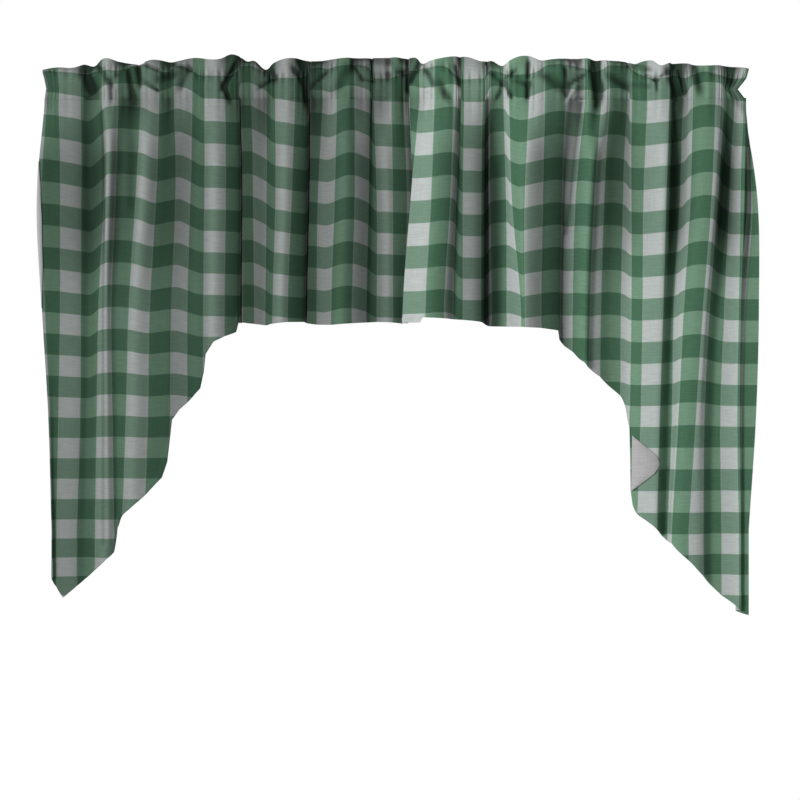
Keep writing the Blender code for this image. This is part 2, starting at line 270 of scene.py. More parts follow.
# Where the check lies on the cloth. Columns: squares across, height above the rod line of the top
# of the first white row below the pocket
LEFT_FIRST_ROW = (
    (-0.2, -5), (0.9, -7), (1.9, -13), (2.6, -18), (2.9, 4), (3.5, 8), (4.0, 10), (4.5, 11),
    (4.9, 8), (5.4, 4), (5.7, -4), (6.0, -5), (6.5, 0), (7.1, 6), (7.4, 4), (7.9, -3), (8.4, -11),
    (8.9, -18), (9.9, -19), (11.2, -19), (11.7, 11), (12.9, 11), (13.4, 5), (14.0, -4), (15.0, -18),
    (15.4, -20), (15.9, -23), (17.0, -25), (17.5, 0), (19.1, -3), (19.6, -8), (20.0, -3), (20.5, 5),
    (21.0, 6), (21.5, 1), (22.1, -4), (22.9, -20), (24.0, -23), (26.0, -23),
)
# Drop of every row's top on the whole, as (drop, rows below the first one), and how much of the
# unevenness of the first row is left further down, as (drop, share)
LEFT_ROWS = ((-151, -4), (5, 0), (162, 4), (392, 10), (541, 14), (758, 20), (892, 24), (958, 26))
LEFT_UNEVEN = ((90, 1.0), (240, 0.87), (392, 0.6), (541, 0.27), (615, 0.1), (760, 0.0))
LEFT_PRINT = (LEFT_FIRST_ROW, LEFT_ROWS, LEFT_UNEVEN)
# Creases are soft troughs, or ridges where the depth is below 0. Columns: place along the rod and
# height at one end, the same at the other end, half width, depth
LEFT_CREASES = (
    (-554, 32, -542, 7, 9, 7), (-522, 32, -508, 12, 5, 6), (-494, 23, -512, 16, 4, 4),
    (-506, 11, -505, -21, 4, 4), (-476, 28, -467, -19, 4, 9), (-459, 46, -455, 11, 4, 7),
    (-455, 48, -425, 34, 3, 6), (-445, 12, -425, -2, 3, 6), (-416, 18, -395, 25, 7, 6),
    (-392, 42, -369, 35, 4, 6), (-374, 32, -383, 7, 7, 6), (-288, 42, -307, 4, 4, 10),
    (-307, 4, -298, -19, 4, 7), (-242, 4, -219, 19, 3, 6), (-235, 41, -224, 25, 7, 7),
    (-169, 49, -159, -18, 7, 12), (-182, 32, -168, 14, 5, 6), (-153, 5, -131, 25, 3, 6),
    (-101, 11, -83, 35, 9, 6), (-76, 35, -64, 18, 3, 6), (-64, 18, -48, 14, 3, 6),
    (-18, 49, -19, 28, 5, 6), (-9, 39, 11, 30, 7, 7), (16, 46, 16, 0, 4, 9),
    (-521, -40, -519, -800, 2.5, 7), (-470, -18, -474, -200, 7, 4),
)
# The side hem rolls over to the front along one stretch: squares of cloth it lies over, height along
# its fold, and how far its edge reaches from there
LEFT_LAP_OVER = (-0.2, 0.6)
LEFT_LAP_HEIGHTS = (-128, -170, -230, -310, -385)
LEFT_LAP_REACH = (0, 5, 8, 6, 0)
LEFT_LAP_PROUD = 1
# The check's colours on the left swag are scaled to about half of the right swag's: painted shade, since both
# swags are the same cloth.
LEFT_SHADED_TONE = 0.47
PANEL_THICK = 1.2
HEM_THICK = 2.6
HEM_WIDE = 9.0
PANEL_ROWS = 156
PANEL_TUCK = 4.0  # cloth that runs on above the seam, inside the pocket
TUCK_BEHIND = 2.0
GATHER_DEEP = 0.8
GATHER_LONG = 34.0  # how far the seam's gathers run on, up and down
COLUMN_STEP = 0.1  # in squares of cloth
LAP_CLEAR = 1.6  # between the cloth and a lap of the hem turned over it
FOLD_REACH = 2.0  # in squares of cloth
CREASE_REACH = 0.35
# Depths at which the painted shade in the folds is full: where the folds are open, at the heading, and over the
# short reach of a crease in a panel and in a heading
FULL_FOLD = 36.0
FULL_GATHER = 11.0
PANEL_CREASE = 12.0
HEADING_CREASE = 5.0
LEFT_OPENS = 0.6  # how much deeper a fold must lie in the tail, where the folds fan out, for full painted shade
PRESS_LIMIT = 7.0  # most that creases press the cloth in


def eased(places, knots, values):
    """Values at the places, on a cubic Hermite curve through the knots that is held past both ends."""
    knots = np.asarray(knots, float)
    values = np.asarray(values, float)
    places = np.clip(places, knots[0], knots[-1])
    slopes = np.gradient(values, knots, axis=0)
    span = np.clip(np.searchsorted(knots, places, side="right") - 1, 0, len(knots) - 2)
    width = knots[span + 1] - knots[span]
    t = ((places - knots[span]) / width)[:, None]
    width = width[:, None]
    start = (2 * t**3 - 3 * t**2 + 1) * values[span] + (t**3 - 2 * t**2 + t) * width * slopes[span]
    end = (3 * t**2 - 2 * t**3) * values[span + 1] + (t**3 - t**2) * width * slopes[span + 1]
    return start + end


def read(table, squares):
    """The table's second column at each place, by straight lines between its rows."""
    knots, values = np.array(table, float).T
    return np.interp(squares, knots, values)


def smoothed(table, squares):
    """The same, averaged over seven places across half a square, so that its corners are round."""
    return np.mean([read(table, squares + aside) for aside in np.linspace(-0.25, 0.25, 7)], axis=0)


def pressed(x, z, creases):
    """Depth that the creases add at each point: each is deepest along its line, and dies away as a
    bell across the line and past its two ends. Where several meet, the sum levels off."""
    total = np.zeros(np.broadcast(x, z).shape)
    for x_one, z_one, x_two, z_two, half, deep in creases:
        run, rise = x_two - x_one, z_two - z_one
        long = np.hypot(run, rise)
        along = ((x - x_one) * run + (z - z_one) * rise) / long
        off = ((x - x_one) * rise - (z - z_one) * run) / long
        past = np.maximum(-along, along - long).clip(0)
        total += deep * np.exp(-((off / half) ** 2) - (past / (2 * half)) ** 2)
    return PRESS_LIMIT * np.tanh(total / PRESS_LIMIT)


def puckered(squares):
    """Small gathers along a seam: two uneven waves across the cloth, about 16 and 10 mm of it long."""
    long_wave = np.sin(2 * np.pi * 2.3 * squares + 1.7 * np.sin(1.9 * squares))
    return 0.62 * long_wave + 0.38 * np.sin(2 * np.pi * 3.7 * squares + 2.1 * np.sin(1.3 * squares + 1))


def heading_depth(fold):
    """Depth of the lower seam from the fold table's depth at the heading."""
    return 0.62 * fold - 10


def step_up(drops, start, end):
    """A soft step from 0 to 1 between two drops."""
    share = np.clip((drops - start) / (end - start), 0, 1)
    return share * share * (3 - 2 * share)


def hung_cloth(folds, hem, squares, drops, creases):
    """Front of the hanging cloth in millimetres. Across, it follows the fold table at five drops, eased
    between them. Its depth opens smoothly from the heading's to the full one, and grows shallower
    down a tail, with the creases and the seam's small gathers added."""
    table = np.array(folds, float)
    across = eased(squares, table[:, 0], table[:, 1:6])
    depth = eased(squares, table[:, 0], table[:, 6:8])
    shares = eased(drops.ravel(), FOLD_DROPS, np.eye(len(FOLD_DROPS)))
    x = (shares.reshape(*drops.shape, len(FOLD_DROPS)) * across).sum(axis=2)
    top = heading_depth(depth[:, 0])
    y = top + (depth[:, 1] - top) * step_up(drops, SEAM_DROP, BLOOM_DROP)
    tail = step_up(read(hem, squares), NO_TAIL, FULL_TAIL)
    y *= 1 - EASE_SHARE * tail * step_up(drops, EASE_FROM, EASE_TO)
    y += pressed(x, -drops, creases)
    y += GATHER_DEEP * puckered(squares) * np.exp(-(((drops - SEAM_DROP) / GATHER_LONG) ** 2))
    y += TUCK_BEHIND * np.clip((SEAM_DROP - drops) / PANEL_TUCK, 0, 1)
    return np.stack([x, y, -drops], axis=2)


def rows_below(squares, drops, first_row, rows, uneven):
    """Rows of the check down from the first white one's top, read from the drop. The first row's own
    unevenness is taken off the drop first, less of it further down."""
    shift = -smoothed(first_row, squares) - rows[1][0]
    return read(rows, drops - shift * read(uneven, drops))


def painted_fold_shade(points, step, full_crease, opens=0):
    """Share of painted shade at each point, by how deep it lies in the folds, from 0 on a ridge to 1: its depth
    behind the nearest cloth on either side, smoothed, over the depth at which the shade is full there. That is
    taken twice, over the reach of a fold and over that of a crease, and the deeper one counts."""
    y, drops = points[:, :, 1], -points[:, :, 2]
    fold_full = FULL_GATHER + (FULL_FOLD - FULL_GATHER) * step_up(drops, SEAM_DROP, BLOOM_DROP)
    opened = 1 + opens * step_up(drops[-1], NO_TAIL, FULL_TAIL) * step_up(drops, EASE_FROM, EASE_TO)
    deepest = np.zeros(y.shape)
    for reach, full in ((FOLD_REACH, fold_full * opened), (CREASE_REACH, full_crease * opened)):
        side = round(reach / step)
        ahead = y
        for smooth in (np.min, np.mean):
            padded = np.pad(ahead, ((0, 0), (side, side)), mode="edge")
            ahead = smooth([padded[:, shift : shift + y.shape[1]] for shift in range(2 * side + 1)], axis=0)
        deepest = np.maximum(deepest, (y - ahead) / full)
    return np.clip(deepest, 0, 1)


def sheet_object(name, grids, materials, thick, hem_thick=None):
    """One mesh from grids of (points in millimetres, UV in squares, material number, faces flipped, hem share,
    share of painted shade), with a Solidify that gives the cloth its two sides and makes the hem thicker."""
    vertices, faces, uvs, numbers, hems, painted_shades = [], [], [], [], [], []
    start = 0
    for points, uv, number, flipped, hem, painted_shade in grids:
        painted_shades.append(painted_shade.ravel())
        rows, columns = points.shape[:2]
        index = start + np.arange(rows * columns).reshape(rows, columns)
        quad = [index[:-1, :-1], index[1:, :-1], index[1:, 1:], index[:-1, 1:]]
        quad = np.stack(quad[::-1] if flipped else quad, axis=2).reshape(-1, 4)
        vertices.append(points.reshape(-1, 3) * MM)
        uvs.append(uv.reshape(-1, 2))
        hems.append(hem.ravel())
        faces.append(quad)
        numbers.append(np.full(len(quad), number))
        start += rows * columns
    vertices, uvs, faces, hems = map(np.concatenate, (vertices, uvs, faces, hems))
    mesh = bpy.data.meshes.new(name)
    mesh.vertices.add(len(vertices))
    mesh.vertices.foreach_set("co", vertices.ravel())
    mesh.loops.add(faces.size)
    mesh.loops.foreach_set("vertex_index", faces.ravel())
    mesh.polygons.add(len(faces))
    mesh.polygons.foreach_set("loop_start", np.arange(0, faces.size, 4))
    mesh.polygons.foreach_set("material_index", np.concatenate(numbers))
    mesh.uv_layers.new(name="cloth").data.foreach_set("uv", uvs[faces.ravel()].ravel())
    # Painted shade: each point's share of darkening in the folds, read by the check material.
    mesh.attributes.new("painted_shade", "FLOAT", "POINT").data.foreach_set("value", np.concatenate(painted_shades))
    mesh.update(calc_edges=True)
    mesh.shade_smooth()
    edge_of_corner = np.empty(faces.size, dtype=np.int32)
    mesh.loops.foreach_get("edge_index", edge_of_corner)
    cut_edges = np.bincount(edge_of_corner, minlength=len(mesh.edges)) == 1
    mesh.attributes.new("sharp_edge", "BOOLEAN", "EDGE").data.foreach_set("value", cut_edges)
    for material in materials:
        mesh.materials.append(material)
    piece = bpy.data.objects.new(name, mesh)
    bpy.context.scene.collection.objects.link(piece)
    solid = piece.modifiers.new("two sides", "SOLIDIFY")
    solid.thickness = thick * MM
    solid.offset = 0
    solid.material_offset = 1
    if hem_thick:
        group = piece.vertex_groups.new(name="hem")
        for level in range(1, 9):
            chosen = np.flatnonzero(np.round(hems * 8) == level)
            group.add(chosen.tolist(), level / 8, "REPLACE")
        solid.thickness = hem_thick * MM
        solid.vertex_group = "hem"
        solid.thickness_vertex_group = thick / hem_thick
    return piece


def panel_grid(folds, hem, creases, print_rows, half_square):
    """The panel's grid: a column every tenth of a square, and rows from the seam to the cut hem,
    closer together near the seam."""
    squares = np.arange(folds[0][0], folds[-1][0] + COLUMN_STEP / 2, COLUMN_STEP)
    length = read(hem, squares)
    down = np.linspace(0, 1, PANEL_ROWS + 1)[:, None] ** 1.15
    top = SEAM_DROP - PANEL_TUCK
    drops = top + down * (length - top)
    points = hung_cloth(folds, hem, squares, drops, creases)
    rows = rows_below(squares, drops, *print_rows)
    uv = np.stack([np.broadcast_to(squares + half_square, drops.shape), rows], axis=2)
    slope = np.gradient(length, points[-1, :, 0] + np.arange(len(squares)) * 1e-6)
    from_hem = (length - drops) / np.sqrt(1 + np.minimum(slope**2, 9))
    share = np.clip((HEM_WIDE - from_hem) / 2 + 0.5, 0, 1)
    return points, uv, share


def turned_hem(folds, hem, creases, over, heights, reach, proud):
    """A lap of the hem that has turned over to the front: a grid from its fold line, the first of the
    squares in over, outward along the rod by the reach at each height. It lies on the nearest cloth
    there and stands off by a half sine. Its reverse side faces the room."""
    z = np.linspace(heights[-1], heights[0], 40)[:, None]
    wide = np.interp(z, heights[::-1], reach[::-1])
    squares = np.linspace(over[0], over[1], 60)
    under = hung_cloth(folds, hem, squares, np.broadcast_to(-z, (40, 60)), creases)
    out = np.linspace(0, 1, 16)
    x = under[:, :1, 0] + out * wide
    y = np.array([np.interp(a, b, c) for a, b, c in zip(x, under[:, :, 0], under[:, :, 1])])
    y = y - LAP_CLEAR - proud * np.sin(np.pi * (0.1 + 0.8 * out))
    points = np.stack([x, y, np.broadcast_to(z, x.shape)], axis=2)
    uv = np.stack([out * wide / SQUARE, points[:, :, 2] / SQUARE], axis=2)
    return points, uv, 1, True, np.zeros(x.shape), np.zeros(x.shape)


def make_left_panel():
    points, uv, hem = panel_grid(LEFT_FOLDS, LEFT_HEM, LEFT_CREASES, LEFT_PRINT, 0)
    front = cloth_material("left check with painted shade", CHECK_COLOURS, LEFT_SHADED_TONE)
    # Painted shade: darker colour where the cloth lies deep in its folds.
    painted_shade = painted_fold_shade(points, COLUMN_STEP, PANEL_CREASE, LEFT_OPENS)
    lap = turned_hem(
        LEFT_FOLDS, LEFT_HEM, LEFT_CREASES, LEFT_LAP_OVER, LEFT_LAP_HEIGHTS, LEFT_LAP_REACH, LEFT_LAP_PROUD
    )
    grids = [(points, uv, 0, False, hem, painted_shade), lap]
    panel = sheet_object("left_swag", grids, (front, reverse_side, front), PANEL_THICK, HEM_THICK)
    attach(panel, "root")
    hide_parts("left_panel")
    return front


left_check = make_left_panel()

# Left heading. The same cloth, turned over the rod line and sewn twice: the lower seam closes the rod
# pocket, the upper one parts it from a standing frill. Pulled tight along the rod, both crumple.
# Columns: squares across, height above the rod line of the upper stitch line
LEFT_STITCH = (
    (-0.2, 34), (1.0, 31), (1.9, 28), (2.5, 28), (2.8, 32), (3.0, 34), (3.9, 32), (4.6, 39),
    (5.0, 46), (5.5, 39), (6.0, 32), (6.5, 30), (7.1, 42), (7.5, 43), (7.9, 34), (8.4, 25),
    (8.9, 23), (9.9, 22), (10.5, 28), (11.4, 41), (13.0, 42), (13.7, 32), (14.3, 21), (15.0, 19),
    (16.0, 19), (16.6, 25), (18.0, 37), (18.8, 40), (19.4, 34), (19.9, 39), (20.4, 42), (21.0, 45),
    (21.5, 42), (22.1, 36), (22.9, 19), (24.0, 19), (24.7, 26), (26.0, 30),
)
# Columns: place along the rod, height of the frill's top edge
LEFT_FRILL = (
    (-632, 35), (-600, 39), (-572, 39), (-557, 45), (-533, 43), (-526, 50), (-492, 49),
    (-455, 46), (-441, 51), (-393, 49), (-367, 54), (-312, 53), (-296, 61), (-280, 58),
    (-268, 50), (-256, 51), (-236, 37), (-220, 46), (-182, 54), (-155, 51), (-78, 55), (18, 55),
)
END_REACH = 45.0
LEFT_END_IN = 4.0
FRILL_END_OUT = 6.0
HEADING_THICK = 1.0
HEADING_STEP = 0.05
STITCH_GATHER = 1.4
FRILL_ROWS_UP = 1.93  # rows of the check from the first white row's top up to the frill's folded edge
POCKET_DEEP = 12.5


def heading_outline(fold, stitch, top):
    """(depth, height) of the strip's fifteen guide points at each column: from the lower seam up the
    pocket's front, over the frill and down the back. The pocket bulges most at the rod line."""
    seam = heading_depth(fold)
    front = -POCKET_DEEP + np.clip(0.45 * fold, -6, 3.5)
    pinch = 0.5 * fold - 8
    tip = 0.9 * fold - 4
    back = 14 + np.clip(0.4 * fold, -2, 6)
    middle = (stitch + top) / 2
    ones = np.ones_like(fold)
    depths = [
        seam, front + 1.6, front, front + 1.6, pinch, (pinch + tip) / 2 - 0.6, tip, tip + 1.2, tip + 2.4,
        (pinch + tip) / 2 + 3, pinch + 2, back - 2.6, back, back - 2.6, seam + 2,
    ]
    heights = [
        -19 * ones, -11 * ones, 0 * ones, stitch - 9, stitch, middle, top - 1.6, top, top - 1.6,
        middle, stitch, 11 * ones, 0 * ones, -11 * ones, -19 * ones,
    ]
    return np.array(depths), np.array(heights)


def heading_strip(folds, stitch_table, frill, creases, end_in, steps, squares):
    """Points of the heading's strip at the given steps round its outline, eased between guide points.
    Its outer end draws in at the pocket and stands out at the frill. Creases press the pocket's front,
    and both plies where they are sewn together."""
    table = np.array(folds, float)
    across = eased(squares, table[:, 0], table[:, 1:2])[:, 0]
    fold = eased(squares, table[:, 0], table[:, 6:7])[:, 0]
    x_frill, z_frill = np.array(frill, float).T
    top = eased(across, x_frill, z_frill[:, None])[:, 0]
    stitch = np.minimum(smoothed(stitch_table, squares), top - 5)
    depths, heights = heading_outline(fold, stitch, top)
    y = eased(steps, np.arange(len(depths)), depths)
    z = eased(steps, np.arange(len(heights)), heights)
    outer = squares[0] < 0
    end = across[0] if outer else across[-1]
    near = np.clip(1 - np.abs(across - end) / END_REACH, 0, 1)
    pocket = np.clip(1 - np.abs(z) / 19, 0, 1)
    proud = np.clip((z - 19) / 19, 0, 1)
    x = across + np.sign(end) * near * (FRILL_END_OUT * proud - end_in * pocket)
    sewn = np.maximum((z - stitch) / 6 + 1, (-SEAM_DROP - z) / 6 + 1).clip(0, 1)
    on_front = np.maximum(np.clip(7 - steps, 0, 1)[:, None], sewn)
    gather = GATHER_DEEP * np.exp(-(((z + SEAM_DROP) / GATHER_LONG) ** 2))
    gather += STITCH_GATHER * np.exp(-(((z - stitch) / 12) ** 2))
    y = y + on_front * pressed(x, z, creases) + gather * puckered(squares)
    return np.stack([x, y, z], axis=2), stitch, top


def heading_grid(folds, last_square, print_rows, stitch_table, frill, creases, end_in, half_square):
    """The heading's grid and its UV. Rows of the check run from the first white row's top to the
    stitch line, from there to the frill's edge, and on down the back."""
    squares = np.arange(folds[0][0], last_square + HEADING_STEP / 2, HEADING_STEP)
    steps = np.concatenate([np.linspace(0, 7, 43), np.linspace(7, 14, 22)[1:]])
    points, stitch, top = heading_strip(folds, stitch_table, frill, creases, end_in, steps, squares)
    z = points[:, :, 2]
    first = smoothed(print_rows[0], squares)
    below = rows_below(squares, -z, *print_rows)
    to_stitch = (z - first) / (stitch - first)
    to_top = 1 + (FRILL_ROWS_UP - 1) * (z - stitch) / (top - stitch)
    rows = np.where(z < first, below, -np.where(z < stitch, to_stitch, to_top))
    behind = steps > 7
    rows[behind] = -2 * FRILL_ROWS_UP - rows[behind]
    uv = np.stack([np.broadcast_to(squares + half_square, z.shape), rows], axis=2)
    return points, uv


def thread_material():
    """Polyester sewing thread: two plies show as a fine twist along Object coordinates."""
    material = bpy.data.materials.new("sewing thread")
    material.use_nodes = True
    tree = material.node_tree
    shader = tree.nodes["Principled BSDF"]
    shader.inputs["Roughness"].default_value = 0.5
    place = tree.nodes.new("ShaderNodeTexCoord")
    wave = tree.nodes.new("ShaderNodeTexWave")
    wave.inputs["Scale"].default_value = 900.0
    wave.bands_direction = "DIAGONAL"
    tree.links.new(place.outputs["Object"], wave.inputs["Vector"])
    tone = mix_node(tree, wave.outputs["Fac"], (0.2, 0.25, 0.22, 1), (0.34, 0.4, 0.36, 1))
    tree.links.new(tone, shader.inputs["Base Color"])
    return material


THREAD = thread_material()
STITCH_LONG = 2.6
STITCH_PITCH = 0.105  # in squares of cloth
STITCH_STEP = 4.0  # where the upper row lies round the heading's outline, and how far it stands out
STITCH_LIFT = 0.5
THREAD_THICK = 0.8


def stitch_row(name, folds, last_square, stitch_table, frill, creases, end_in, step, lift):
    """A row of stitches on the heading at one step of its outline: each is a short six-sided tube
    along the row, tapered to both ends, which dips into the cloth there."""
    centres = np.arange(folds[0][0] + 0.15, last_square - 0.1, STITCH_PITCH)
    half = STITCH_LONG / SQUARE / 2
    stops = np.linspace(-1, 1, 5)
    squares = (centres[:, None] + half * stops).ravel()
    line = heading_strip(folds, stitch_table, frill, creases, end_in, np.array([step]), squares)[0][0]
    line[:, 1] -= lift
    line = line.reshape(len(centres), len(stops), 3)
    fat = THREAD_THICK / 2 * np.sqrt(1 - 0.85 * stops**2)
    line[:, :, 1] += 0.5 * stops**2
    turn = np.arange(6) * np.pi / 3
    ring = np.stack([np.zeros(6), -np.cos(turn), np.sin(turn)], axis=1)
    tube = line[:, :, None, :] + fat[None, :, None, None] * ring
    count = len(stops) * 6
    start = (np.arange(len(centres)) * count)[:, None, None]
    here = start + (np.arange(len(stops) - 1) * 6)[:, None] + np.arange(6)
    over = start + (np.arange(len(stops) - 1) * 6)[:, None] + (np.arange(6) + 1) % 6
    faces = np.stack([here, here + 6, over + 6, over], axis=3).reshape(-1, 4)
    mesh = bpy.data.meshes.new(name)
    mesh.from_pydata((tube.reshape(-1, 3) * MM).tolist(), [], faces.tolist())
    mesh.shade_smooth()
    mesh.materials.append(THREAD)
    piece = bpy.data.objects.new(name, mesh)
    bpy.context.scene.collection.objects.link(piece)
    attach(piece, "root")
    return piece


def make_heading(side, folds, last_square, print_rows, stitches, frill, creases, end_in, half_square, check):
    points, uv = heading_grid(folds, last_square, print_rows, stitches, frill, creases, end_in, half_square)
    plain = np.zeros(points.shape[:2])
    # Painted shade: darker colour where the cloth lies deep in its creases and gathers.
    painted_shade = painted_fold_shade(points, HEADING_STEP, HEADING_CREASE)
    name = side + "_pocket_and_frill"
    grids = [(points, uv, 0, True, plain, painted_shade)]
    heading = sheet_object(name, grids, (check, reverse_side), HEADING_THICK)
    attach(heading, "root")
    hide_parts(side + "_heading")
    name = side + "_upper_stitches"
    upper = stitch_row(name, folds, last_square, stitches, frill, creases, end_in, STITCH_STEP, STITCH_LIFT)
    return heading


make_heading(
    "left", LEFT_FOLDS, 26.0, LEFT_PRINT, LEFT_STITCH, LEFT_FRILL, LEFT_CREASES, LEFT_END_IN, 0, left_check
)

# Right swag. A mirrored cut of the same cloth on the same rod, hung so that its inner edge laps over
# the left one. At its outer side the cloth returns in a narrow fold towards the wall.
RIGHT_FOLDS = (
    (0.0, 18.2, 25, 16, 16, 16, 2, -4),
    (0.5, 36, 21, 7, 7, 7, -2, -11),
    (1.5, 62, 56, 46, 46, 46, -9, -17),
    (2.5, 96, 90, 79, 79, 79, -4, -6),
    (3.5, 108, 101, 96, 96, 96, 9, 12),
    (4.5, 115, 113, 113, 113, 113, 4, 13),
    (5.1, 134, 134, 134, 134, 134, 3, 17),
    (5.5, 147, 146, 145, 145, 145, 6, 23),
    (6.5, 153, 155, 155, 155, 155, 9, 34),
    (7.0, 157, 159, 160, 160, 160, 14, 40),
    (7.5, 161, 163, 166, 166, 166, 9, 30),
    (8.5, 184, 189, 190, 190, 190, -2, -6),
    (9.0, 188, 193, 203, 203, 203, -7, -12),
    (9.5, 193, 198, 214, 214, 214, -9, -18),
    (10.0, 208, 209, 217, 217, 217, -9, -22),
    (10.5, 228, 220, 220, 220, 220, -7, -24),
    (11.0, 242, 235, 233, 233, 233, -7, -17),
    (11.5, 256, 253, 250, 250, 250, -4, -6),
    (12.5, 293, 288, 285, 285, 285, 4, 12),
    (12.9, 305, 295, 291, 291, 291, 9, 17),
    (13.3, 321, 304, 300, 300, 300, 5, 10),
    (13.5, 327, 312, 307, 307, 307, -2, 4),
    (14.0, 337, 326, 319, 319, 319, -5, -5),
    (14.3, 349, 337, 330, 330, 330, 9, -8),
    (14.5, 356, 344, 336, 333, 333, 2, -1),
    (15.5, 370, 363, 357, 355, 355, 0, 11),
    (16.0, 385, 379, 374, 372, 372, 5, 16),
    (16.5, 401, 397, 393, 392, 390, 5, 11),
    (17.5, 409, 410, 410, 407, 404, -4, -2),
    (18.5, 436, 429, 428, 425, 418, -9, -18),
    (19.0, 455, 448, 445, 441, 436, -11, -24),
    (19.5, 474, 467, 463, 457, 452, -7, -25),
    (20.2, 487, 485, 476, 473, 467, 11, 5),
    (20.5, 500, 496, 485, 482, 474, 5, 2),
    (21.5, 516, 512, 501, 492, 480, -5, -12),
    (22.0, 534, 529, 517, 506, 492, -9, -19),
    (22.5, 556, 548, 534, 522, 509, -5, -18),
    (23.5, 572, 561, 547, 538, 536, 4, -4),
    (24.0, 582, 573, 561, 554, 552, 9, 17),
    (24.5, 591, 586, 576, 569, 571, 7, 16),
    (25.5, 606, 603, 600, 597, 600, 0, 2),
    (25.8, 611, 609, 603, 601, 603, 2, -2),
    (26.2, 609, 607, 600, 598, 600, 9, 8),
    (26.5, 610, 617, 598, 594, 597, 12, 13),
    (27.5, 612, 626, 612, 607, 605, 22, 12),
    (28.3, 610, 634, 636, 631, 618, 36, 8),
)
RIGHT_HEM = (
    (0.0, 412), (1.3, 411), (1.4, 402), (4.5, 405), (5.5, 408), (7.0, 415), (8.5, 418), (11.5, 420),
    (12.4, 424), (12.5, 440), (13.3, 456), (14.5, 489), (15.5, 505), (16.5, 540), (17.0, 564),
    (17.5, 596), (17.8, 707), (18.1, 732), (18.5, 748), (19.5, 773), (20.5, 796), (21.5, 799),
    (22.5, 829), (23.5, 856), (24.5, 893), (25.5, 916), (26.5, 919), (28.3, 927),
)
RIGHT_FIRST_ROW = (
    (0.0, 7), (0.6, 0), (1.5, 2), (2.0, 7), (2.5, 8), (3.5, 4), (4.3, -23), (5.5, -23), (6.8, -9),
    (7.6, 6), (8.7, 4), (9.6, -11), (10.1, -18), (10.5, -15), (11.5, -5), (12.0, 1), (12.5, 1),
    (13.3, -3), (14.0, -2), (14.4, -7), (15.5, 0), (16.0, 2), (16.5, -2), (17.3, -19), (18.4, -23),
    (19.5, -19), (20.4, -12), (20.7, -9), (21.5, 6), (22.1, 12), (22.5, 11), (23.4, 7), (24.6, -19),
    (25.8, -21), (28.3, -21),
)
RIGHT_ROWS = (
    (-151, -4), (5, 0), (242, 6), (399, 10), (478, 12), (631, 16), (783, 20), (928, 24), (1000, 26),
)
RIGHT_UNEVEN = ((90, 1.0), (240, 0.85), (399, 0.5), (555, 0.2), (632, 0.0))
RIGHT_PRINT = (RIGHT_FIRST_ROW, RIGHT_ROWS, RIGHT_UNEVEN)
RIGHT_CREASES = (
    (23, 18, 37, 46, 5, 7), (51, 28, 60, 11, 5, 6), (74, 7, 86, -14, 7, 6), (101, 35, 106, 11, 4, 6),
    (185, 11, 166, 25, 4, 7), (185, 11, 201, 28, 4, 7), (185, 11, 175, -12, 4, 6),
    (185, 11, 196, -12, 4, 6), (203, 19, 224, 11, 7, 7), (228, 42, 226, -14, 4, 7),
    (233, 16, 250, 23, 3, 4), (261, 21, 284, 4, 9, 6), (293, 32, 295, -9, 4, 6),
    (296, 7, 323, 23, 3, 7), (309, 4, 298, -18, 4, -4), (340, 46, 351, -4, 8, 12),
    (355, 0, 348, -25, 5, 6), (376, 19, 395, 7, 7, 7), (407, 41, 434, 35, 5, 6),
    (415, 7, 436, 4, 5, 4), (439, 21, 452, 16, 3, 7), (452, 16, 462, 21, 3, 7),
    (452, 16, 453, 0, 3, 4), (476, 25, 490, -11, 6, 10), (497, 28, 503, -4, 4, 12),
    (519, 39, 527, 4, 7, 7), (589, 7, 605, -23, 9, 9),
    (321, -27, 297, -250, 3, 5),
)
RIGHT_OPENS = 2.2
RIGHT_TONE = 0.88
# The corner of the hem that has flipped forward: squares of cloth it lies over, height along its fold,
# and how far its edge reaches from there
RIGHT_LAP_OVER = (17.8, 20.4)
RIGHT_LAP_HEIGHTS = (-610, -628, -645, -660, -676, -692, -707)
RIGHT_LAP_REACH = (0, 21, 41, 47, 38, 18, 0)
RIGHT_LAP_PROUD = 3


def make_right_panel():
    points, uv, hem = panel_grid(RIGHT_FOLDS, RIGHT_HEM, RIGHT_CREASES, RIGHT_PRINT, 0.5)
    front = cloth_material("right check", CHECK_COLOURS, RIGHT_TONE)
    # Painted shade: darker colour where the cloth lies deep in its folds.
    painted_shade = painted_fold_shade(points, COLUMN_STEP, PANEL_CREASE, RIGHT_OPENS)
    lap = turned_hem(
        RIGHT_FOLDS, RIGHT_HEM, RIGHT_CREASES, RIGHT_LAP_OVER, RIGHT_LAP_HEIGHTS, RIGHT_LAP_REACH, RIGHT_LAP_PROUD
    )
    grids = [(points, uv, 0, False, hem, painted_shade), lap]
    panel = sheet_object("right_swag", grids, (front, reverse_side, front), PANEL_THICK, HEM_THICK)
    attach(panel, "root")
    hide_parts("right_panel")
    return front


right_check = make_right_panel()

